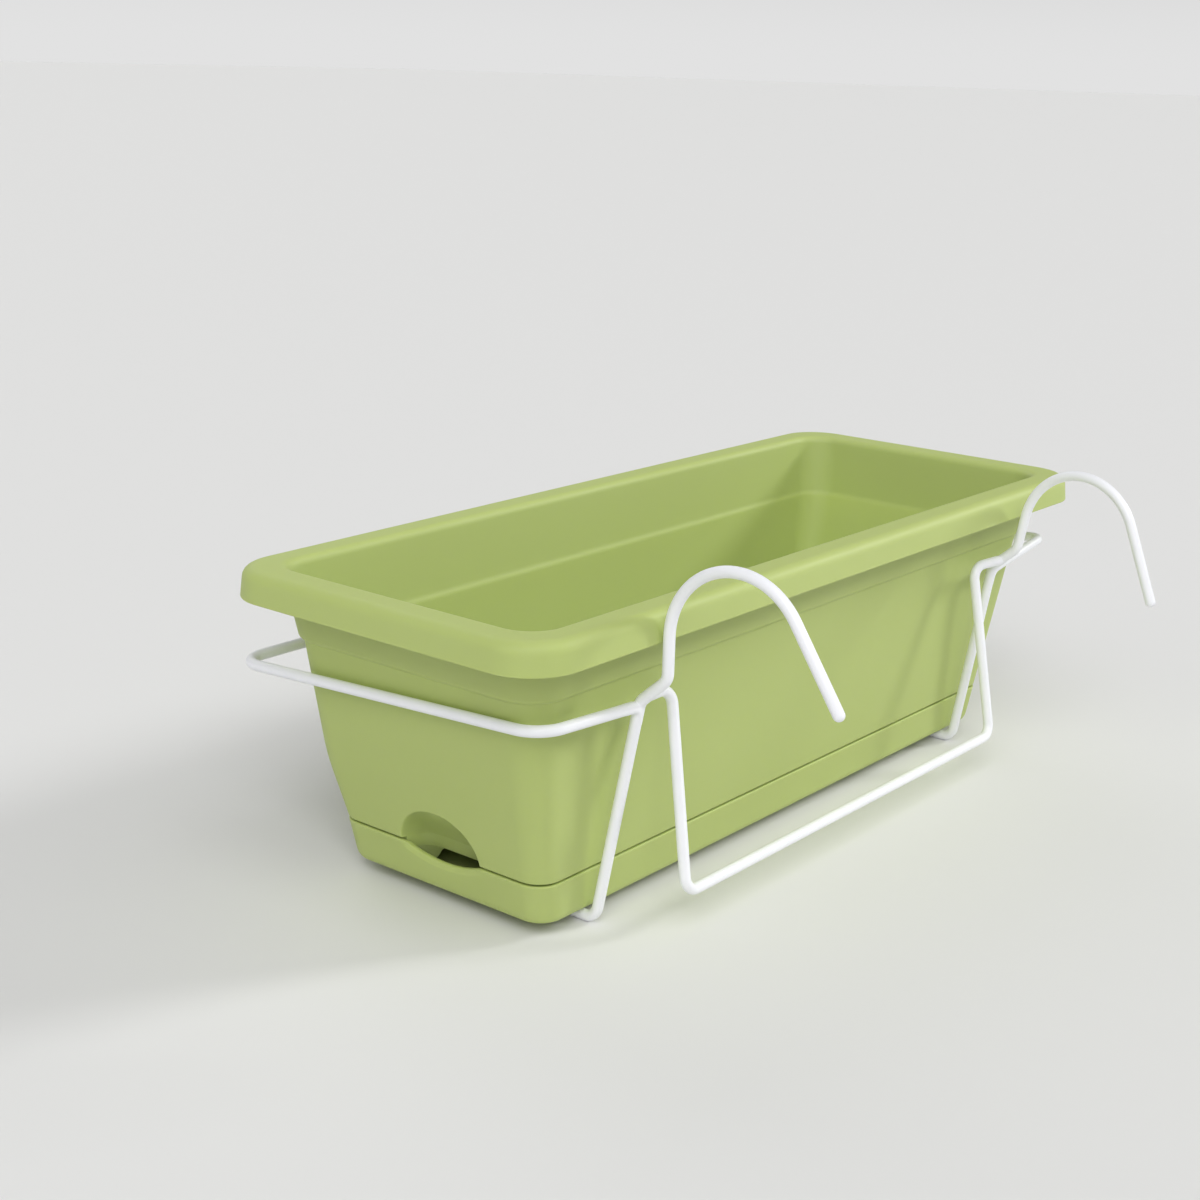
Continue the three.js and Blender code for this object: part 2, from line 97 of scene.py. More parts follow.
class NodeWork:
    """A node tree under construction, whose textures lie in the object's own coordinates."""

    def __init__(self, tree: bpy.types.NodeTree) -> None:
        """Start on an empty tree."""
        self.tree = tree
        tree.nodes.clear()

    def add(
        self, kind: str, settings: Settings | None = None, links: dict[str | int, Socket] | None = None,
    ) -> bpy.types.Node:
        """Add a node with its settings and links.

        Args:
            kind: Blender's name for the kind of node.
            settings: Values by the name or number of an input socket, or by the name of a property.
            links: The output socket that feeds each input, by the input's name or number.

        Returns:
            The new node.
        """
        node = self.tree.nodes.new(kind)
        for key, value in (settings or {}).items():
            if isinstance(key, int) or key in node.inputs:
                node.inputs[key].default_value = value
            else:
                setattr(node, key, value)
        for key, source in (links or {}).items():
            self.tree.links.new(source, node.inputs[key])
        return node

    def noise(self, spots: Spots) -> Socket:
        """Add a noise texture and give its value, from zero to one."""
        place = self.add("ShaderNodeTexCoord").outputs["Object"]
        settings = {"Scale": 1 / (spots.size_mm * MM), "Detail": spots.detail, "Roughness": spots.roughness}
        return self.add("ShaderNodeTexNoise", settings, {"Vector": place}).outputs["Fac"]

    def tint(self, colour: str, other: str, share: Socket) -> Socket:
        """Mix two colours, given in sRGB hex, by a share."""
        # Inputs 6 and 7 and output 2 are the node's sockets for colours
        settings = {"data_type": "RGBA", 6: to_linear(colour), 7: to_linear(other)}
        return self.add("ShaderNodeMix", settings, {0: share}).outputs[2]

    def span(self, share: Socket, low: float, high: float) -> Socket:
        """Spread a value from zero to one over a range."""
        ends = {"To Min": low, "To Max": high}
        return self.add("ShaderNodeMapRange", ends, {"Value": share}).outputs["Result"]

    def relief(self, height: Socket, depth_mm: float, under: Socket | None = None) -> Socket:
        """Turn a height into relief.

        Args:
            height: The height, from zero to one.
            depth_mm: How deep the relief is from zero to one.
            under: The normal of the relief that this one lies on, if any.

        Returns:
            The normal.
        """
        links = {"Height": height} if under is None else {"Height": height, "Normal": under}
        settings = {"Strength": 1.0, "Distance": depth_mm * MM}
        return self.add("ShaderNodeBump", settings, links).outputs["Normal"]


class Finish:
    """What a surface is and how it was made; a finish of its own gives the shader's sockets."""

    name: str

    def sockets(self, work: NodeWork) -> tuple[Settings, dict[str, Socket]]:
        """Give the shader's constant values and the textures that feed its other sockets."""
        raise NotImplementedError

    def dress(self) -> bpy.types.Material:
        """Build the material."""
        material = bpy.data.materials.new(self.name)
        material.use_nodes = True
        work = NodeWork(material.node_tree)
        shader = work.add("ShaderNodeBsdfPrincipled", *self.sockets(work))
        work.add("ShaderNodeOutputMaterial", links={"Surface": shader.outputs["BSDF"]})
        return material


@dataclass(frozen=True)
class MouldedPolypropylene(Finish):
    """Polypropylene, injection moulded in a spark-eroded tool, coloured in the melt.

    It gives the eye one soft, broad highlight, a fine even grain, slow waves where thick walls shrank as they
    cooled, and a colour that drifts a little along the flow of the melt.
    """

    name: str
    colour: str
    drift_colour: str
    ior: float = 1.49
    roughness: float = 0.57
    roughness_drift: float = 0.06
    # The tool's grain is about 0.2 mm, too fine to show, so it is drawn at 0.7 mm
    grain: Spots = Spots(0.7, 3.0, 0.6)
    grain_depth_mm: float = 0.012
    waves: Spots = Spots(55.0, 1.0)
    wave_depth_mm: float = 0.12
    drift: Spots = Spots(90.0, 2.0, 0.45)
    # A little light travels under the surface, red and green further than blue
    glow: float = 0.35
    glow_mm: float = 4.0
    glow_reach: tuple[float, float, float] = (1.0, 1.0, 0.5)

    def sockets(self, work: NodeWork) -> tuple[Settings, dict[str, Socket]]:
        """Give the shader's values and textures."""
        drift = work.noise(self.drift)
        low, high = self.roughness - self.roughness_drift, self.roughness + self.roughness_drift
        waves = work.relief(work.noise(self.waves), self.wave_depth_mm)
        values = {
            "IOR": self.ior,
            "Subsurface Weight": self.glow,
            "Subsurface Radius": self.glow_reach,
            "Subsurface Scale": self.glow_mm * MM,
        }
        return values, {
            "Base Color": work.tint(self.colour, self.drift_colour, drift),
            "Roughness": work.span(drift, low, high),
            "Normal": work.relief(work.noise(self.grain), self.grain_depth_mm, waves),
        }


@dataclass(frozen=True)
class PowderCoatedSteel(Finish):
    """White polyester powder coat, baked on steel wire.

    It gives the eye a bright, slightly cool white with a semi-gloss highlight that runs along the wire,
    broken a little by the orange peel that the powder leaves as it flows together.
    """

    name: str
    colour: str
    thin_colour: str
    ior: float = 1.5
    roughness: float = 0.3
    peel: Spots = Spots(1.6, 1.0)
    peel_depth_mm: float = 0.03
    drift: Spots = Spots(14.0, 2.0)

    def sockets(self, work: NodeWork) -> tuple[Settings, dict[str, Socket]]:
        """Give the shader's values and textures."""
        return {"IOR": self.ior, "Roughness": self.roughness}, {
            "Base Color": work.tint(self.colour, self.thin_colour, work.noise(self.drift)),
            "Normal": work.relief(work.noise(self.peel), self.peel_depth_mm),
        }


@dataclass(frozen=True)
class StudioPaper(Finish):
    """Matt pale background paper, which gives the eye a pale floor with soft shadows and no highlight."""

    name: str = "studio_paper_matt"
    colour: str = "#e2e2e1"
    roughness: float = 0.9
    shine: float = 0.1

    def sockets(self, work: NodeWork) -> tuple[Settings, dict[str, Socket]]:
        """Give the shader's values, without textures."""
        colour = to_linear(self.colour)
        return {"Base Color": colour, "Roughness": self.roughness, "Specular IOR Level": self.shine}, {}


class Face(Enum):
    """Which face of a moulded wall a station lies on."""

    OUTSIDE = "outside"
    INSIDE = "inside"


@dataclass(frozen=True)
class Plan:
    """A level rectangle with round corners, in millimetres, centred on the trough.

    Its front side, towards +Y, stands out further than its rail side by the bulge.
    """

    half_length: float
    half_width: float
    corner: float
    bulge: float = 0.0

    def inset(self, amount: float, least_corner: float = 2.6) -> "Plan":
        """Move every side in by an amount."""
        corner = max(self.corner - amount, least_corner)
        return Plan(self.half_length - amount, self.half_width - amount, corner, self.bulge)

    def toward(self, other: "Plan", share: float) -> "Plan":
        """Give the plan a share of the way to another one."""
        return Plan(*(mine + (its - mine) * share for mine, its in zip(astuple(self), astuple(other))))


@dataclass(frozen=True)
class Station:
    """A corner of a wall's profile: its plan, its height and how far back its edge is rounded."""

    plan: Plan
    z: float
    rounding: float = 0.0
    face: Face = Face.OUTSIDE

    def toward(self, other: "Station", share: float) -> "Station":
        """Give the station a share of the way to another one, with no rounding of its own."""
        z = self.z + (other.z - self.z) * share
        return Station(self.plan.toward(other.plan, share), z, 0.0, self.face)

    def distance(self, other: "Station") -> float:
        """Measure the wall between two stations, along the profile of its long side."""
        return math.hypot(self.plan.half_width - other.plan.half_width, self.z - other.z)


@dataclass(frozen=True)
class Outline:
    """How the outline of a plan is divided into points, the same at every height of a wall.

    The -X side has fine points at fixed distances from the middle, for the scoop and the dip of the tray.
    """

    corner_steps: int = 12
    long_steps: int = 10
    end_steps: int = 6
    approach_steps: int = 2
    guard_mm: float = 1.2
    scoop_half_mm: float = 24.0
    scoop_step_mm: float = 0.25

    def shares(self, length: float, steps: int) -> list[float]:
        """Divide a straight side, with one point close to each end to keep its middle flat."""
        guard = self.guard_mm / length
        return [guard, *(step / steps for step in range(1, steps)), 1 - guard]

    def points(self, plan: Plan, z: float) -> list[Vector]:
        """List the outline's points, anticlockwise from above, from the start of the +X +Y corner.

        Args:
            plan: The plan at this height.
            z: The height, in millimetres.

        Returns:
            The points, in millimetres, with the trough's middle at x 0 and y 0.
        """
        reach = plan.half_length - plan.corner
        front = plan.half_width + plan.bulge - plan.corner
        rail = plan.corner - plan.half_width
        centres = [(reach, front), (-reach, front), (-reach, rail), (reach, rail)]
        arcs = []
        for quarter, (x, y) in enumerate(centres):
            turns = [quarter + step / self.corner_steps for step in range(self.corner_steps + 1)]
            outs = [(math.cos(turn * math.pi / 2), math.sin(turn * math.pi / 2)) for turn in turns]
            arcs.append([Vector((x + plan.corner * cos, y + plan.corner * sin, z)) for cos, sin in outs])
        fine = round(2 * self.scoop_half_mm / self.scoop_step_mm)
        edge = self.scoop_half_mm
        scoop_side = [
            *(front + (edge - front) * share for share in self.shares(front, self.approach_steps)[:-1]),
            *(edge - step * self.scoop_step_mm for step in range(fine + 1)),
            *((rail + edge) * share - edge for share in self.shares(-rail, self.approach_steps)[1:]),
        ]
        return [
            *arcs[0],
            *(arcs[0][-1].lerp(arcs[1][0], share) for share in self.shares(2 * reach, self.long_steps)),
            *arcs[1],
            *(Vector((-plan.half_length, y, z)) for y in scoop_side),
            *arcs[2],
            *(arcs[2][-1].lerp(arcs[3][0], share) for share in self.shares(2 * reach, self.long_steps)),
            *arcs[3],
            *(arcs[3][-1].lerp(arcs[0][0], share) for share in self.shares(front - rail, self.end_steps)),
        ]


@dataclass(frozen=True)
class Rounding:
    """How a wall's profile is rounded and divided."""

    steps: int = 6
    # A guard station beyond each rounding keeps the wall flat; neither reaches the middle of a span
    guard_mm: float = 0.5
    most_share: float = 0.42
    guard_share: float = 0.49
    fine_mm: float = 0.4
    coarse_mm: float = 7.0

    def round_off(self, profile: Sequence[Station]) -> list[Station]:
        """Round each corner of a profile that asks for it, with a station close by to keep the wall flat."""
        stations = [profile[0]]
        for before, corner, after in zip(profile, profile[1:], profile[2:]):
            if not corner.rounding:
                stations.append(corner)
                continue
            sides = []
            for other in (before, after):
                length = corner.distance(other)
                share = min(corner.rounding / length, self.most_share)
                guard = min(share + self.guard_mm / length, self.guard_share)
                sides.append((corner.toward(other, share), corner.toward(other, guard)))
            (start, guard_before), (end, guard_after) = sides
            stations.append(guard_before)
            for step in range(self.steps + 1):
                share = step / self.steps
                stations.append(start.toward(corner, share).toward(corner.toward(end, share), share))
            stations.append(guard_after)
        stations.append(profile[-1])
        return stations

    def stations(self, profile: Sequence[Station], fine_below: float) -> list[Station]:
        """Round a wall's profile and divide its tall spans.

        Args:
            profile: The profile's corners, in order.
            fine_below: The height up to which the wall carries detail and is divided finely.

        Returns:
            The stations, in order.
        """
        stations = self.round_off(profile)
        divided = [stations[0]]
        for low, high in zip(stations, stations[1:]):
            step = self.fine_mm if min(low.z, high.z) < fine_below else self.coarse_mm
            pieces = max(1, math.ceil(abs(high.z - low.z) / step))
            divided.extend(low.toward(high, piece / pieces) for piece in range(1, pieces + 1))
        return divided


def smooth_step(share: float) -> float:
    """Ease from zero to one as a share goes from zero to one."""
    share = min(max(share, 0.0), 1.0)
    return share * share * (3 - 2 * share)


def smooth_max(a: float, b: float, softness: float) -> float:
    """Take the larger of two values, with a fillet of the given softness where they meet."""
    return 0.5 * (a + b + math.sqrt((a - b) ** 2 + softness**2))


@dataclass(frozen=True)
class Scoop:
    """The watering scoop in the trough's end wall, in millimetres: an arch over the dip in the tray.

    Its middle stands off the trough's middle by the offset, towards the rail side.
    """

    base: float
    width: float = 40.8
    height: float = 17.3
    offset: float = -2.3
    depth: float = 12.0
    # The back leans in from the arch and turns upright near the seam; the sides stay steep
    back_power: float = 2.2
    side_power: float = 8.0
    dip: float = 4.5
    dip_bevel: float = 1.1
    # The arch's edge is crisper on the rail side
    crisp_edge: float = 0.5
    soft_edge: float = 0.8
    # Towards the front the lip hangs down into the tray as a curtain, which gives the throat its slanted edge
    curtain_start: float = 8.5
    curtain_full: float = 15.5
    curtain_ebb: float = 19.5
    curtain_end: float = 22.5
    curtain_drop: float = 6.4

    def sink(self, across: float, z: float, grow: float = 0.0) -> float:
        """Say how far the wall is sunk at a place.

        Args:
            across: The distance from the trough's middle, towards +Y.
            z: The height.
            grow: How much larger the form is on every side, for the wall's inner face.

        Returns:
            The depth from the plain end wall.
        """
        across -= self.offset
        half = self.width / 2 + grow
        height = max(0.0, (z - self.base) / (self.height + grow))
        if height >= 1 or abs(across) >= half + self.soft_edge:
            return 0.0
        side = abs(across) / (half * math.sqrt(1 - height**2))
        sunk = (1 - height**self.back_power) * (1 - side**self.side_power)
        place = min(max((across / half + 1) / 2, 0.0), 1.0)
        softness = self.crisp_edge + (self.soft_edge - self.crisp_edge) * place
        return smooth_max(0.0, (self.depth + grow) * sunk, softness)

    def curtain_at(self, across: float) -> float:
        """Say how far the trough's lip hangs down at a distance from the trough's middle."""
        across -= self.offset
        rise = smooth_step((across - self.curtain_start) / (self.curtain_full - self.curtain_start))
        fall = smooth_step((self.curtain_end - across) / (self.curtain_end - self.curtain_ebb))
        return self.curtain_drop * rise * fall

    def dip_at(self, across: float) -> float:
        """Say how far the tray's rim is lowered at a distance from the trough's middle."""
        across -= self.offset
        half = self.width / 2
        radius = (half**2 + self.dip**2) / (2 * self.dip)
        level = self.dip - radius + math.sqrt(max(radius**2 - across**2, 0.0))
        return smooth_max(0.0, level, self.crisp_edge)


def skin_rings(form: Form, rings: Iterable[Sequence[Vector]]) -> list[Ring]:
    """Skin quads over rings of equal count.

    Args:
        form: The mesh that gets the faces.
        rings: The rings, in millimetres.

    Returns:
        The vertices of each ring.
    """
    levels = [[form.verts.new(point * MM) for point in ring] for ring in rings]
    for low, high in zip(levels, levels[1:]):
        for i, corner in enumerate(low):
            j = (i + 1) % len(low)
            form.faces.new((corner, low[j], high[j], high[i]))
    return levels


def ring_edges(form: Form, ring: Ring) -> list[bmesh.types.BMEdge]:
    """Find the edges of a closed ring of vertices."""
    return [form.edges.get((vertex, ring[(i + 1) % len(ring)])) for i, vertex in enumerate(ring)]


def add_object(name: str, data: bpy.types.ID) -> bpy.types.Object:
    """Add an object to the scene."""
    item = bpy.data.objects.new(name, data)
    bpy.context.scene.collection.objects.link(item)
    return item


@dataclass(frozen=True)
class Piece:
    """What a finished piece stands for: its name, its material, its body, its slot and its CAD nodes."""

    name: str
    material: bpy.types.Material
    body: str
    slot: str
    replaces: tuple[str, ...] = ()
    sharp_degrees: float = 38.0

    def make(self, form: Form) -> None:
        """Turn a form into an object of the scene, dressed and riding on its body.

        Args:
            form: The piece's mesh, in metres in the frame.
        """
        bmesh.ops.remove_doubles(form, verts=form.verts, dist=SAME_POINT)
        bmesh.ops.dissolve_degenerate(form, edges=form.edges, dist=SAME_POINT)
        bmesh.ops.recalc_face_normals(form, faces=form.faces)
        mesh = bpy.data.meshes.new(self.name)
        form.to_mesh(mesh)
        form.free()
        mesh.shade_smooth()
        mesh.set_sharp_from_angle(angle=math.radians(self.sharp_degrees))
        mesh.materials.append(self.material)
        piece = add_object(self.name, mesh)
        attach(piece, self.body)
        if self.replaces:
            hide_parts(*self.replaces)
        log.info("%s: %d faces on body %s", self.name, len(mesh.polygons), self.body)


@dataclass(frozen=True)
class Moulding:
    """A moulded piece: a profile carried round its plan, with a -X end wall that is shaped point by point.

    Sizes are in millimetres. Low and high are the corners of its box from the trough's middle, and the middle
    is that point's place in the frame.
    """

    low: Vector
    high: Vector
    middle: Vector

    def profile(self) -> list[Station]:
        """List the corners of the wall's profile: up the outside, over the rim and down the inside."""
        raise NotImplementedError

    def shaped(self, point: Vector, station: Station) -> Vector:
        """Move a point of the end wall to where the wall's own shape puts it."""
        raise NotImplementedError

    def widest(self, corner: float) -> Plan:
        """Give the plan of the piece where it is widest, with corners of a radius."""
        return Plan((self.high.x - self.low.x) / 2, (self.high.y - self.low.y) / 2, corner)

    def skin(self, form: Form, fine_below: float) -> list[Ring]:
        """Skin the wall.

        Args:
            form: The mesh that gets the faces.
            fine_below: The height up to which the wall carries detail and is divided finely.

        Returns:
            The vertices of each ring, along the profile.
        """
        outline = Outline()
        rings = []
        for station in Rounding().stations(self.profile(), fine_below):
            end = END_TOLERANCE - station.plan.half_length
            points = outline.points(station.plan, station.z)
            shaped = (point if point.x > end else self.shaped(point, station) for point in points)
            rings.append([self.middle + point for point in shaped])
        return skin_rings(form, rings)


@dataclass(frozen=True)
class DripTray(Moulding):
    """The clip-on drip tray: a shallow dish whose rim dips under the scoop."""

    scoop: Scoop
    wall: float = 2.0
    corner: float = 10.0
    foot_radius: float = 4.0
    end_draft: float = 3.7
    side_draft: float = 1.8
    edge_radius: float = 0.7
    flat_inset: float = 14.0
    rim_zone: float = 2.6
    dip_zone: float = 8.0
    bevel_height: float = 2.4

    @property
    def top(self) -> Plan:
        """The plan of the rim."""
        return self.widest(self.corner)

    @property
    def end_slope(self) -> float:
        """How far the end walls lean out for each millimetre of height."""
        return self.end_draft / (self.high.z - self.low.z - self.foot_radius)

    @property
    def bottom(self) -> Plan:
        """The plan of the wall, where it meets the round foot."""
        top = self.top
        return Plan(top.half_length - self.end_draft, top.half_width - self.side_draft, self.corner)

    def inner_at(self, z: float) -> Plan:
        """Give the plan of the inner wall at a height."""
        foot = self.low.z + self.foot_radius
        share = (z - foot) / (self.high.z - foot)
        return self.bottom.toward(self.top, share).inset(self.wall)

    def profile(self) -> list[Station]:
        """List the corners of the profile, from the outside of the foot to the inside."""
        inner_foot = self.inner_at(self.low.z + self.foot_radius)
        floor = self.low.z + self.wall
        fillet = self.foot_radius - self.wall
        return [
            Station(self.bottom.inset(self.flat_inset), self.low.z),
            Station(self.bottom, self.low.z, self.foot_radius),
            Station(self.top, self.high.z, self.edge_radius),
            Station(self.inner_at(self.high.z), self.high.z, self.edge_radius, Face.INSIDE),
            Station(inner_foot, floor, fillet, Face.INSIDE),
            Station(inner_foot.inset(self.flat_inset), floor, 0.0, Face.INSIDE),
        ]

    def shaped(self, point: Vector, station: Station) -> Vector:
        """Lower a point of the end wall where the rim dips, along the wall's slope."""
        if abs(point.y) > self.scoop.width:
            return point
        share = (point.z - self.high.z + self.rim_zone + self.dip_zone) / self.dip_zone
        dip = self.scoop.dip_at(point.y)
        drop = dip * min(max(share, 0.0), 1.0)
        bevel = self.scoop.dip_bevel * min(dip / self.scoop.dip_bevel, 1.0)
        lean = bevel * max(0.0, 1 - (self.high.z - point.z) / self.bevel_height)
        return point + Vector((drop * self.end_slope + lean, 0, -drop))

    def build(self, piece: Piece) -> None:
        """Build the tray, which stands for its CAD node as the piece says."""
        form = bmesh.new()
        levels = self.skin(form, self.high.z)
        form.faces.new(levels[0])
        form.faces.new(levels[-1])
        piece.make(form)


@dataclass(frozen=True)
class Trough(Moulding):
    """The moulded trough, from its feet in the tray to its folded rim."""

    tray: DripTray
    scoop: Scoop
    wall: float = 2.6
    nest_gap: float = 0.4
    seam_gap: float = 0.9
    floor_lift: float = 13.5
    crease_lift: float = 44.0
    crease_bulge: float = 4.0
    step_lift: float = 94.4
    step_depth: float = 2.0
    step_rise: float = 1.2
    band_foot: Plan = Plan(182.5, 63.75, 16.0)
    band_top: Plan = Plan(187.0, 67.25, 16.0)
    rim_corner: float = 21.0
    skirt_height: float = 11.8
    skirt_flare: float = 1.3
    # The roundings, from the lip in the tray up the outside, over the rim and down the inside
    nest_foot_radius: float = 0.8
    nest_root_radius: float = 0.3
    shoulder_radius: float = 0.6
    crease_softness: float = 7.0
    step_root_radius: float = 0.5
    step_edge_radius: float = 0.9
    band_root_radius: float = 2.5
    skirt_root_radius: float = 2.2
    skirt_inner_radius: float = 0.5
    skirt_outer_radius: float = 0.8
    rim_edge_radius: float = 4.2
    rim_lip_radius: float = 3.0
    ledge_radius: float = 1.0
    floor_radius: float = 3.0
    floor_margin: float = 3.5
    scoop_softness: float = 1.2
    scoop_margin: float = 5.2
    lip_thickness: float = 1.5
    lip_zone: float = 1.2
    ledge_spread: float = 0.4
    # The lower wall is this much thinner at its top, so that the ledge inside is narrower than the step
    ledge_thinning: float = 1.2
    foot_rows: int = 2
    foot_columns: int = 3
    foot_pitch_x: float = 112.0
    foot_pitch_y: float = 54.0
    foot_radius: float = 10.0
    foot_draft: float = 1.5
    drain_radius: float = 3.0
    foot_sides: int = 40
    # How far the rings of each rounding of a foot stand out and up from the corner that they round
    foot_root: RingOffsets = ((1.2, 0.0), (0.35, -0.35), (0.0, -1.2))
    foot_sole: RingOffsets = ((0.1, 0.9), (-0.25, 0.25), (-0.9, 0.0))
    drain_foot: RingOffsets = ((0.4, 0.0), (0.0, 0.4))
    drain_top: RingOffsets = ((0.0, -0.3), (0.3, 0.0))
    well_foot: RingOffsets = ((-0.8, 0.0), (0.0, 0.8))
    well_top: RingOffsets = ((-0.1, -0.8), (0.7, 0.0))

    @property
    def rim(self) -> Plan:
        """The plan of the skirt's foot, which is the trough's widest."""
        return self.widest(self.rim_corner)

    @property
    def shoulder(self) -> Plan:
        """The plan of the wall's lower edge, flush with the tray's rim."""
        return self.tray.top

    @property
    def underside(self) -> float:
        """The height of the floor's underside."""
        return self.tray.low.z + self.floor_lift

    @property
    def nest_foot(self) -> Plan:
        """The plan of the lip's foot, inside the tray."""
        return self.tray.inner_at(self.underside).inset(self.nest_gap)

    @property
    def lip(self) -> Plan:
        """The plan of the lip's inner edge."""
        return self.nest_foot.inset(self.lip_thickness)

    @property
    def shoulder_height(self) -> float:
        """The height of the wall's lower edge, above the seam."""
        return self.tray.high.z + self.seam_gap

    @property
    def lower_top(self) -> Plan:
        """The plan of the lower wall where the band overhangs it."""
        return self.band_foot.inset(self.step_depth)

    def crease(self) -> Station:
        """Give the crease across the front, where the wall stands out most."""
        z = self.tray.low.z + self.crease_lift
        top = self.tray.low.z + self.step_lift - self.step_rise
        plan = self.shoulder.toward(self.lower_top, (z - self.shoulder_height) / (top - self.shoulder_height))
        return Station(replace(plan, bulge=self.crease_bulge), z, self.crease_softness)

    def end_wall_at(self, z: float) -> float:
        """Say how far out the end wall stands at a height below the crease."""
        crease = self.crease()
        share = max(0.0, (z - self.shoulder_height) / (crease.z - self.shoulder_height))
        return self.shoulder.toward(crease.plan, share).half_length

    def profile(self) -> list[Station]:
        """List the corners of the profile, from the lip in the tray to the floor inside."""
        under_floor = self.underside
        floor = under_floor + self.wall
        step = self.tray.low.z + self.step_lift
        step_root = step - self.step_rise
        top = self.high.z
        under_rim = top - self.wall
        skirt_foot = top - self.skirt_height
        crease = self.crease()
        rim_face = self.rim.inset(self.skirt_flare)
        nest_root = self.tray.inner_at(self.tray.high.z).inset(self.nest_gap)
        outside = [
            Station(self.nest_foot, under_floor, self.nest_foot_radius),
            Station(nest_root, self.shoulder_height, self.nest_root_radius),
            Station(self.shoulder, self.shoulder_height, self.shoulder_radius),
            crease,
            Station(self.lower_top, step_root, self.step_root_radius),
            Station(self.band_foot, step, self.step_edge_radius),
            Station(self.band_top, under_rim, self.band_root_radius),
            Station(rim_face.inset(self.wall), under_rim, self.skirt_root_radius),
            Station(self.rim.inset(self.wall), skirt_foot, self.skirt_inner_radius),
            Station(self.rim, skirt_foot, self.skirt_outer_radius),
            Station(rim_face, top, self.rim_edge_radius),
        ]
        ledge_foot = self.lower_top.inset(self.wall - self.ledge_thinning)
        floor_edge = self.shoulder.inset(self.tray.wall + self.nest_gap + self.wall)
        inside = [
            Station(self.band_top.inset(self.wall), top, self.rim_lip_radius),
            Station(self.band_foot.inset(self.wall), step + self.ledge_spread, self.ledge_radius),
            Station(ledge_foot, step_root - self.ledge_spread, self.ledge_radius),
            Station(crease.plan.inset(self.wall), crease.z, self.crease_softness),
            Station(floor_edge, floor, self.floor_radius),
            Station(floor_edge.inset(self.floor_margin), floor),
        ]
        return [
            Station(self.lip.inset(self.lip_thickness), under_floor),
            Station(self.lip, under_floor),
            *outside,
            *(replace(station, face=Face.INSIDE) for station in inside),
        ]

    def shaped(self, point: Vector, station: Station) -> Vector:
        """Sink a point of the end wall into the scoop, on the face of the wall that it lies on."""
        if station.z > self.crease().z:
            return point
        wall_x = -self.end_wall_at(station.z)
        if station.face is Face.INSIDE:
            back = wall_x + self.scoop.sink(point.y, station.z, self.wall)
            return Vector((smooth_max(point.x, back, self.scoop_softness), point.y, point.z))
        x = max(point.x, wall_x + self.scoop.sink(point.y, station.z))
        hang_from = self.lip.inset(self.lip_thickness / 2).half_length
        hangs = station.z < self.underside + self.lip_zone and station.plan.half_length > hang_from
        drop = self.scoop.curtain_at(point.y) if hangs else 0.0
        return Vector((x + drop * self.tray.end_slope, point.y, point.z - drop))

    def foot_rings(self, x: float, y: float) -> list[list[Vector]]:
        """List the rings of one hollow foot: down its outside, up through the drain and up its well.

        Args:
            x: The foot's place along the trough.
            y: The foot's place across the trough.

        Returns:
            The rings, in millimetres, from the floor's underside to its top.
        """
        sole = self.foot_radius - self.foot_draft
        well = self.low.z + self.wall
        corners = (
            (self.foot_radius, self.underside, self.foot_root),
            (sole, self.low.z, self.foot_sole),
            (self.drain_radius, self.low.z, self.drain_foot),
            (self.drain_radius, well, self.drain_top),
            (sole - self.wall, well, self.well_foot),
            (self.foot_radius - self.wall, self.underside + self.wall, self.well_top),
        )
        profile = [(radius + out, z + up) for radius, z, rounding in corners for out, up in rounding]
        turns = [2 * math.pi * side / self.foot_sides for side in range(self.foot_sides)]
        return [[Vector((x + r * math.cos(t), y + r * math.sin(t), z)) for t in turns] for r, z in profile]

    def feet(self) -> list[tuple[float, float]]:
        """List the places of the feet, in rows and columns about the middle."""
        first_x = -self.foot_pitch_x * (self.foot_columns - 1) / 2
        first_y = -self.foot_pitch_y * (self.foot_rows - 1) / 2
        return [
            (first_x + column * self.foot_pitch_x, first_y + row * self.foot_pitch_y)
            for row in range(self.foot_rows)
            for column in range(self.foot_columns)
        ]

    def build(self, piece: Piece) -> None:
        """Build the trough as one closed mesh, with its feet and drains."""
        form = bmesh.new()
        levels = self.skin(form, self.scoop.base + self.scoop.height + self.scoop_margin)
        under_edges = ring_edges(form, levels[0])
        floor_edges = ring_edges(form, levels[-1])
        for x, y in self.feet():
            rings = [[self.middle + point for point in ring] for ring in self.foot_rings(x, y)]
            foot = skin_rings(form, rings)
            under_edges += ring_edges(form, foot[0])
            floor_edges += ring_edges(form, foot[-1])
        bmesh.ops.triangle_fill(form, use_beauty=True, edges=under_edges, normal=(0, 0, -1))
        bmesh.ops.triangle_fill(form, use_beauty=True, edges=floor_edges, normal=(0, 0, 1))
        piece.make(form)


class WireEnd(Enum):
    """How a wire's end is finished."""

    ROUND = "round"
    SHEARED = "sheared"


@dataclass(frozen=True)
class Bend:
    """A corner of a wire's centre line, in millimetres, and the radius that it is bent to, if it is."""

    point: Vector
    radius: float = 6.0


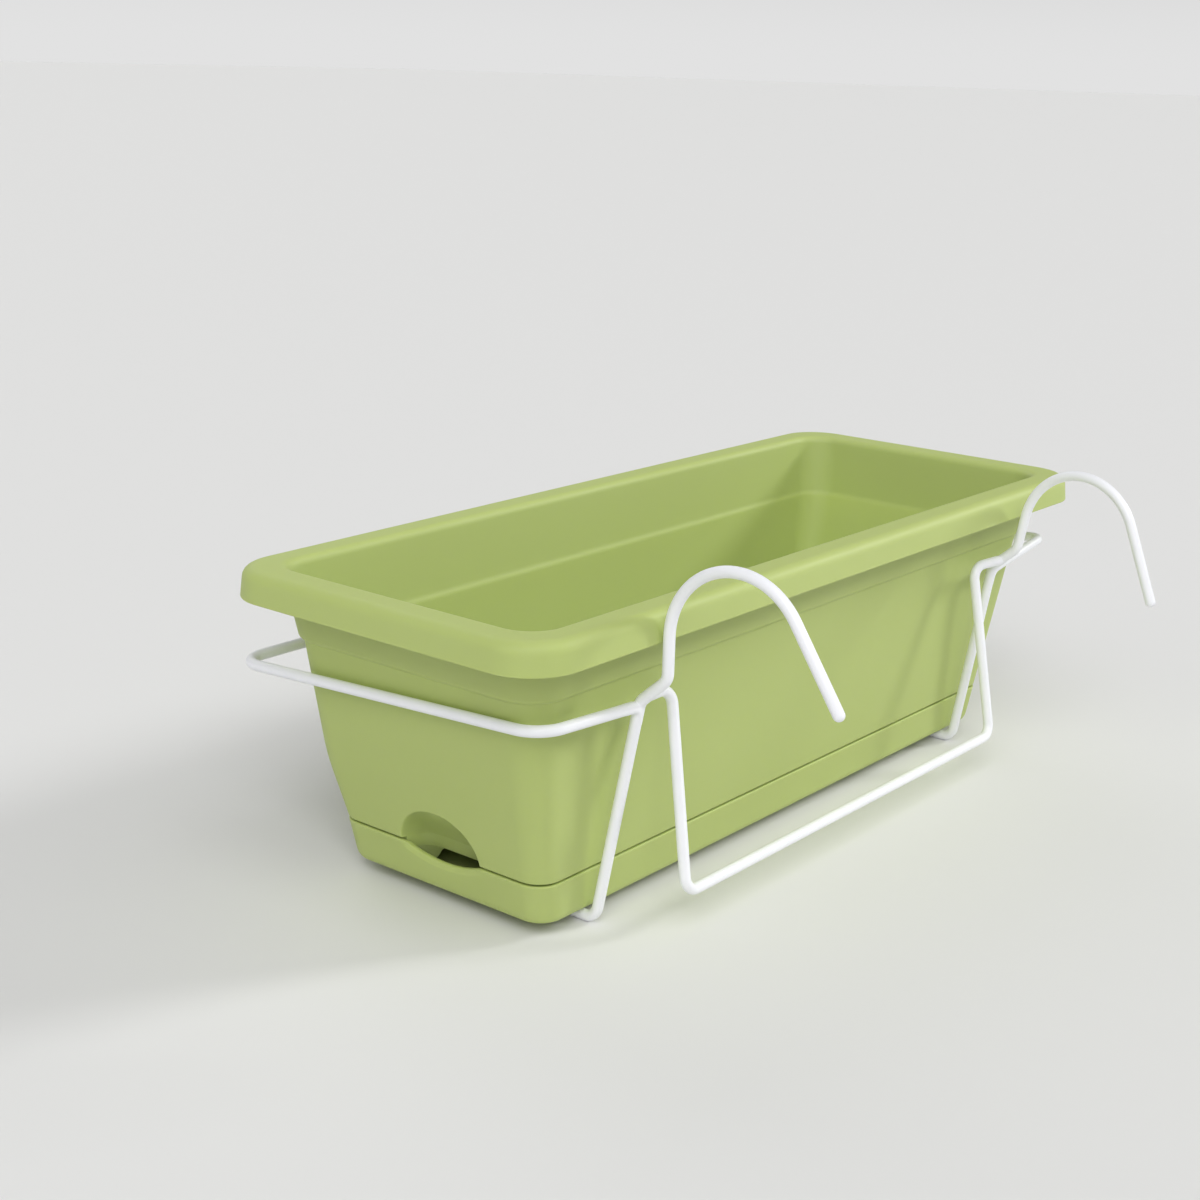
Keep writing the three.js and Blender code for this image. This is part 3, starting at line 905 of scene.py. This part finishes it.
@dataclass(frozen=True)
class Wire:
    """A round wire bent along a line of corners."""

    bends: tuple[Bend, ...]
    radius: float
    start: WireEnd = WireEnd.SHEARED
    finish: WireEnd = WireEnd.SHEARED
    sides: int = 28
    bend_degrees: float = 5.0
    least_steps: int = 3
    end_steps: int = 6
    sheared_edge: float = 0.5
    tip_share: float = 0.02
    near_step: float = 0.5

    def line(self) -> list[Vector]:
        """List the centre line's points: straight runs joined by true round bends."""
        points = [self.bends[0].point.copy()]
        for before, corner, after in zip(self.bends, self.bends[1:], self.bends[2:]):
            if not corner.radius:
                points.append(corner.point.copy())
                continue
            into = (corner.point - before.point).normalized()
            out = (after.point - corner.point).normalized()
            turn = into.angle(out)
            axis = into.cross(out).normalized()
            start = corner.point - into * corner.radius * math.tan(turn / 2)
            centre = start + axis.cross(into) * corner.radius
            steps = max(self.least_steps, math.ceil(math.degrees(turn) / self.bend_degrees))
            for step in range(steps + 1):
                spin = Matrix.Rotation(turn * step / steps, 3, axis)
                points.append(centre + spin @ (start - centre))
        points.append(self.bends[-1].point.copy())
        return points

    def end_rings(self, end: WireEnd) -> list[tuple[float, float]]:
        """List how far out each ring of an end lies and its radius, from the wire outward."""
        edge, back = (self.radius, 0.0) if end is WireEnd.ROUND else (self.sheared_edge, self.sheared_edge)
        angles = [math.pi / 2 * step / self.end_steps for step in range(self.end_steps + 1)]
        least = self.tip_share * self.radius
        outs = [edge * math.sin(a) - back for a in angles]
        return [(out, max(self.radius - edge * (1 - math.cos(a)), least)) for out, a in zip(outs, angles)]

    def form(self, form: Form) -> None:
        """Skin the wire along its line, into a mesh."""
        line = self.line()
        runs = [(b - a).normalized() for a, b in zip(line, line[1:])]
        into, out_of = runs[0], runs[-1]
        tangents = [(a + b).normalized() for a, b in zip(runs, runs[1:])]
        stops = [(line[0] - into * out, into, r) for out, r in reversed(self.end_rings(self.start))]
        stops += [(point, tangent, self.radius) for point, tangent in zip(line[1:-1], tangents)]
        stops += [(line[-1] + out_of * out, out_of, r) for out, r in self.end_rings(self.finish)]
        normal = stops[0][1].orthogonal().normalized()
        rings = []
        for place, tangent, radius in stops:
            normal = (normal - tangent * normal.dot(tangent)).normalized()
            side = tangent.cross(normal)
            turns = [2 * math.pi * i / self.sides for i in range(self.sides)]
            rings.append([place + (normal * math.cos(t) + side * math.sin(t)) * radius for t in turns])
        levels = skin_rings(form, rings)
        form.faces.new(levels[0])
        form.faces.new(levels[-1])

    def near(self, place: Vector, reach: float) -> list[Vector]:
        """List the centre line's points within reach of a place, a fraction of a millimetre apart."""
        line = self.line()
        ends = line[0], line[-1]
        close = []
        for a, b in zip(line, line[1:]):
            pieces = max(1, math.ceil((b - a).length / self.near_step))
            for point in (a.lerp(b, piece / pieces) for piece in range(pieces)):
                inside = min((point - end).length for end in ends) > self.radius
                if inside and (point - place).length < reach:
                    close.append(point)
        return close


@dataclass(frozen=True)
class HookSet:
    """How one hook wire is set by hand: its side, how far it leans out and how far it turns to the middle."""

    name: str
    side: int
    lean: float = 0.0
    twist: float = 0.0


@dataclass(frozen=True)
class Leg:
    """The hook wires' legs on one side of the trough, and the ring's side that they meet.

    It has how far across and how high the ring lies there, and the legs' lean towards +Y on the way down, in
    degrees.
    """

    ring_y: float
    height: float
    lean: float


@dataclass(frozen=True)
class SpacerEnd:
    """How one end of the spacer runs: its side, the top of its outer leg and its end beside the hook wire."""

    side: int
    leg_top: Vector
    end: Vector


@dataclass(frozen=True)
class WireHolder:
    """The holder of bent wire, in millimetres: ring, spacer and two hook wires, welded where they lap."""

    middle: Vector
    wire: float = 4.4
    weld_gap: float = 0.4
    rail_leg: Leg = Leg(-65.226, 90.0, 9.9)
    front_leg: Leg = Leg(90.39, 82.0, -20.0)
    ring_length: float = 362.42
    ring_bend: float = 12.0
    # The ring's right rail corner is bent out and up by hand
    ring_right_reach: float = 6.5
    ring_right_rise: float = 4.1
    ring_right_outset: float = 1.5
    ring_right_bend: float = 5.0
    ring_end_bend: float = 4.0
    ring_end_run: float = 5.2
    ring_end_drop: float = 0.6
    hook_pitch: float = 260.4
    hook_splay: float = 1.9
    splay_height: float = 150.0
    joint_rise: float = 1.0
    front_leg_overrun: float = 4.0
    shank_y: float = -82.0
    shank_foot: float = 101.6
    shank_length: float = 16.2
    arch_radius: float = 28.4
    arch_sweep: float = 146.1
    hook_tail: float = 33.8
    spacer_bar: Vector = Vector((117.5, -83.426, 15.3))
    spacer_ends: tuple[SpacerEnd, ...] = (
        SpacerEnd(-1, Vector((112.8, -69.526, 92.0)), Vector((126.5, -68.5, 91.0))),
        SpacerEnd(1, Vector((113.5, -70.3, 94.1)), Vector((131.7, -74.5, 94.9))),
    )
    hooks: tuple[HookSet, ...] = (HookSet("left", -1), HookSet("right", 1, 11.0, 7.8))
    weld_reach: float = 8.0
    weld_voxel: float = 0.3
    weld_smoothing: int = 14
    weld_swell: float = 0.12
    # The front welds sit this far in, so that their coat stays behind the ring's outer side
    weld_settle: float = 0.1

    @property
    def radius(self) -> float:
        """The wire's radius."""
        return self.wire / 2

    def hook_x(self, z: float) -> float:
        """Say how far from the middle a hook wire stands at a height: its legs splay on the way down."""
        return self.hook_pitch / 2 + (self.splay_height - z) * math.tan(math.radians(self.hook_splay))

    def at(self, x: float, y: float, z: float) -> Vector:
        """Place a point that is given from the trough's middle."""
        return self.middle + Vector((x, y, z))

    @property
    def lap(self) -> float:
        """The distance between the centres of two wires that are welded side by side."""
        return self.wire + self.weld_gap

    def joint(self, leg: Leg, side: int) -> Vector:
        """Give the place where a hook wire's leg meets the ring."""
        y = leg.ring_y - self.lap / math.cos(math.radians(leg.lean))
        return self.at(side * self.hook_x(leg.height), y, leg.height)

    def leg_at(self, leg: Leg, side: int, z: float) -> Vector:
        """Give the place of a hook wire's leg at a height."""
        joint = self.joint(leg, side) - self.middle
        y = joint.y + (leg.height - z) * math.tan(math.radians(leg.lean))
        return self.at(side * self.hook_x(z), y, z)

    def ring(self) -> Wire:
        """Give the ring, from rail joint round the front to rail joint, its ends bent down into the legs."""
        rail, front = self.rail_leg, self.front_leg
        bend_height = rail.height - self.ring_end_drop
        end_height = bend_height - self.ring_end_run
        half = self.ring_length / 2
        right_y = rail.ring_y - self.ring_right_outset
        right_z = rail.height + self.ring_right_rise
        bends = (
            Bend(self.leg_at(rail, -1, end_height)),
            Bend(self.leg_at(rail, -1, bend_height), self.ring_end_bend),
            Bend(self.at(-half, rail.ring_y, rail.height), self.ring_bend),
            Bend(self.at(-half, front.ring_y, front.height), self.ring_bend),
            Bend(self.at(half, front.ring_y, front.height), self.ring_bend),
            Bend(self.at(half + self.ring_right_reach, right_y, right_z), self.ring_right_bend),
            Bend(self.leg_at(rail, 1, bend_height), self.ring_end_bend),
            Bend(self.leg_at(rail, 1, end_height)),
        )
        return Wire(bends, self.radius, start=WireEnd.ROUND, finish=WireEnd.ROUND)

    def spacer(self) -> Wire:
        """Give the spacer, from the hook wires to the outer legs, down them and along the bar."""
        left, right = (
            [Bend(self.at(end.side * x, y, z)) for x, y, z in (end.end, end.leg_top, self.spacer_bar)]
            for end in self.spacer_ends
        )
        return Wire((*left, *reversed(right)), self.radius)

    def hook(self, setting: HookSet) -> Wire:
        """Give a hook wire: hook, shank, step under the rim, rail leg, cradle under the tray and front leg.

        Args:
            setting: How the hook is set.

        Returns:
            The wire, from its round tip to the end of its front leg.
        """
        side, rail, front = setting.side, self.rail_leg, self.front_leg
        sweep = math.radians(self.arch_sweep)
        tangent = self.arch_radius * math.tan(sweep / 2)
        crown = Vector((0, 0, self.shank_length + tangent))
        tip = crown + Vector((0, -math.sin(sweep), math.cos(sweep))) * (tangent + self.hook_tail)
        foot = self.at(side * self.hook_x(self.shank_foot), self.shank_y, self.shank_foot)
        turn = Matrix.Rotation(-side * math.radians(setting.twist), 3, "Z")
        turn = turn @ Matrix.Rotation(math.radians(setting.lean), 3, "X")
        bends = (
            Bend(foot + turn @ tip),
            Bend(foot + turn @ crown, self.arch_radius),
            Bend(foot),
            Bend(self.leg_at(rail, side, rail.height + self.joint_rise)),
            Bend(self.leg_at(rail, side, self.radius)),
            Bend(self.leg_at(front, side, self.radius)),
            Bend(self.leg_at(front, side, front.height + self.front_leg_overrun)),
        )
        return Wire(bends, self.radius, start=WireEnd.ROUND)

    def weld(self, place: Vector, wires: Iterable[Wire], piece: Piece, settle: float = 0.0) -> None:
        """Build a weld with its coat: the wires' stretches near a joint, run together into smooth crotches.

        Args:
            place: The middle of the joint.
            wires: The wires that meet there.
            piece: What the finished piece stands for.
            settle: How far the weld moves towards the rail side.
        """
        form = bmesh.new()
        for wire in wires:
            close = wire.near(place, self.weld_reach)
            if len(close) > 1:
                path = tuple(Bend(point, 0.0) for point in close)
                Wire(path, self.radius, WireEnd.ROUND, WireEnd.ROUND).form(form)
        rough = bpy.data.meshes.new(piece.name + "_rough")
        form.to_mesh(rough)
        form.free()
        blank = add_object(rough.name, rough)
        remesh = blank.modifiers.new("melt", "REMESH")
        remesh.mode = "VOXEL"
        remesh.voxel_size = self.weld_voxel * MM
        smooth = blank.modifiers.new("flow", "SMOOTH")
        smooth.iterations = self.weld_smoothing
        swell = blank.modifiers.new("coat", "DISPLACE")
        swell.mid_level = 0.0
        swell.strength = self.weld_swell * MM
        graph = bpy.context.evaluated_depsgraph_get()
        melted = bmesh.new()
        melted.from_mesh(blank.evaluated_get(graph).to_mesh())
        bpy.data.objects.remove(blank)
        bmesh.ops.translate(melted, verts=melted.verts, vec=Vector((0, -settle, 0)) * MM)
        piece.make(melted)

    def build(self, coat: bpy.types.Material) -> None:
        """Build the wires and their welds, with their coat."""
        ring, spacer = self.ring(), self.spacer()
        wires = {"ring_wire": ring, "spacer_wire": spacer}
        for setting in self.hooks:
            wires[f"hook_wire_{setting.name}"] = self.hook(setting)
        for node, wire in wires.items():
            form = bmesh.new()
            wire.form(form)
            Piece(f"{node}_coated", coat, "holder", "wire", (node,)).make(form)
        for setting in self.hooks:
            hook = wires[f"hook_wire_{setting.name}"]
            rail = Piece(f"weld_rail_{setting.name}", coat, "holder", "wire")
            self.weld(self.joint(self.rail_leg, setting.side), (ring, spacer, hook), rail)
            front = Piece(f"weld_front_{setting.name}", coat, "holder", "wire")
            self.weld(self.joint(self.front_leg, setting.side), (ring, hook), front, self.weld_settle)


@dataclass(frozen=True)
class Lamp:
    """A large studio lamp, far enough away to light the object and the floor evenly.

    It has the direction that it stands in, how wide it looks from the object, in degrees, and its strength.
    """

    name: str
    direction: Vector
    width: float
    strength: float

    def hang(self) -> None:
        """Hang the lamp, facing the object."""
        data = bpy.data.lights.new(self.name, "SUN")
        data.angle = math.radians(self.width)
        data.energy = self.strength
        lamp = add_object(self.name, data)
        lamp.location = self.direction
        lamp.rotation_euler = (-self.direction).to_track_quat("-Z", "Y").to_euler()


@dataclass(frozen=True)
class Studio:
    """The plain studio: floor, soft light and the camera at the photograph's viewing angle."""

    # The camera's place from the trough's middle on the ground, in millimetres, and its angles in degrees
    camera_place: tuple[float, float, float] = (-641.6, -461.3, 311.5)
    heading: float = -51.42
    pitch: float = 16.18
    roll: float = 1.57
    # The focal length and the middle of the picture, in pixels of a picture 1200 pixels wide and high
    picture_pixels: float = 1200.0
    focal_pixels: float = 1893.0
    middle_pixels: tuple[float, float] = (609.1, 609.1)
    sensor_mm: float = 36.0
    floor_size: float = 60.0
    sky_colour: str = "#ffffff"
    # The sky is as bright as the floor at the horizon, so that the two run together, and dimmer above
    horizon_strength: float = 0.76
    sky_strength: float = 0.16
    haze_height: float = 0.25
    lamps: tuple[Lamp, ...] = (
        Lamp("camera_side_lamp", Vector((-1.1, -1.0, 1.1)), 35, 1.0),
        Lamp("high_lamp", Vector((-0.7, -0.6, 1.6)), 50, 0.95),
        Lamp("end_side_lamp", Vector((-1.4, 0.3, 1.0)), 45, 0.25),
        Lamp("rail_side_lamp", Vector((0.2, -1.0, 1.3)), 45, 0.3),
        Lamp("key_lamp", Vector((1.35, -0.85, 0.75)), 12, 1.25),
        Lamp("back_lamp", Vector((0.6, 1.4, 1.0)), 40, 0.4),
    )

    def camera(self, middle: Vector) -> None:
        """Set up the camera as the photograph was taken."""
        data = bpy.data.cameras.new("photo_camera")
        data.sensor_width = self.sensor_mm
        data.lens = self.sensor_mm * self.focal_pixels / self.picture_pixels
        half = self.picture_pixels / 2
        data.shift_x = (half - self.middle_pixels[0]) / self.picture_pixels
        data.shift_y = (self.middle_pixels[1] - half) / self.picture_pixels
        camera = add_object("photo_camera", data)
        turn = Matrix.Rotation(math.radians(self.heading), 4, "Z")
        tilt = Matrix.Rotation(math.radians(90 - self.pitch), 4, "X")
        roll = Matrix.Rotation(math.radians(self.roll), 4, "Z")
        place = Matrix.Translation((middle + Vector(self.camera_place)) * MM)
        camera.matrix_world = place @ turn @ tilt @ roll
        bpy.context.scene.camera = camera

    def floor(self) -> None:
        """Lay the paper floor."""
        half = self.floor_size / 2
        corners = [(-half, -half, 0), (half, -half, 0), (half, half, 0), (-half, half, 0)]
        mesh = bpy.data.meshes.new("studio_floor")
        mesh.from_pydata(corners, [], [range(len(corners))])
        mesh.materials.append(StudioPaper().dress())
        floor = add_object("studio_floor", mesh)

    def light(self) -> None:
        """Light the object with a soft sky and the lamps."""
        world = bpy.data.worlds.new("studio_sky")
        world.use_nodes = True
        work = NodeWork(world.node_tree)
        place = work.add("ShaderNodeTexCoord").outputs["Generated"]
        haze = {
            "interpolation_type": "SMOOTHSTEP",
            "From Max": self.haze_height,
            "To Min": self.horizon_strength,
            "To Max": self.sky_strength,
        }
        height = work.add("ShaderNodeSeparateXYZ", links={"Vector": place}).outputs["Z"]
        strength = work.add("ShaderNodeMapRange", haze, {"Value": height}).outputs["Result"]
        sky = work.add("ShaderNodeBackground", {"Color": to_linear(self.sky_colour)}, {"Strength": strength})
        work.add("ShaderNodeOutputWorld", links={"Surface": sky.outputs["Background"]})
        bpy.context.scene.world = world
        for lamp in self.lamps:
            lamp.hang()
        bpy.context.scene.view_settings.view_transform = "Standard"


def box_mm(node: str, middle: Vector) -> tuple[Vector, Vector]:
    """Give a CAD node's lowest and highest corners in millimetres, from the trough's middle."""
    low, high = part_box(node)
    return low / MM - middle, high / MM - middle


def main() -> None:
    """Build the planter and the studio, piece by piece."""
    logging.basicConfig(level=logging.INFO, format="%(name)s: %(message)s")
    low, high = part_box("pot")
    middle = Vector((0, (low.y + high.y) / 2 / MM, 0))
    studio = Studio()
    studio.camera(middle)
    plastic = MouldedPolypropylene("polypropylene_injection_moulded_green", "#b6c478", "#b1bf72").dress()
    coat = PowderCoatedSteel("steel_wire_powder_coated_white", "#f8f9fc", "#f1f2f8").dress()
    tray_low, tray_high = box_mm("drip_tray", middle)
    scoop = Scoop(base=tray_high.z)
    tray = DripTray(tray_low, tray_high, middle, scoop)
    tray.build(Piece("drip_tray_moulding", plastic, "tray", "tray", ("drip_tray",)))
    trough = Trough(*box_mm("pot", middle), middle, tray, scoop)
    trough.build(Piece("trough_moulding", plastic, "trough", "trough", ("pot",)))
    WireHolder(middle).build(coat)
    studio.floor()
    studio.light()


if __name__ == "__main__":
    main()
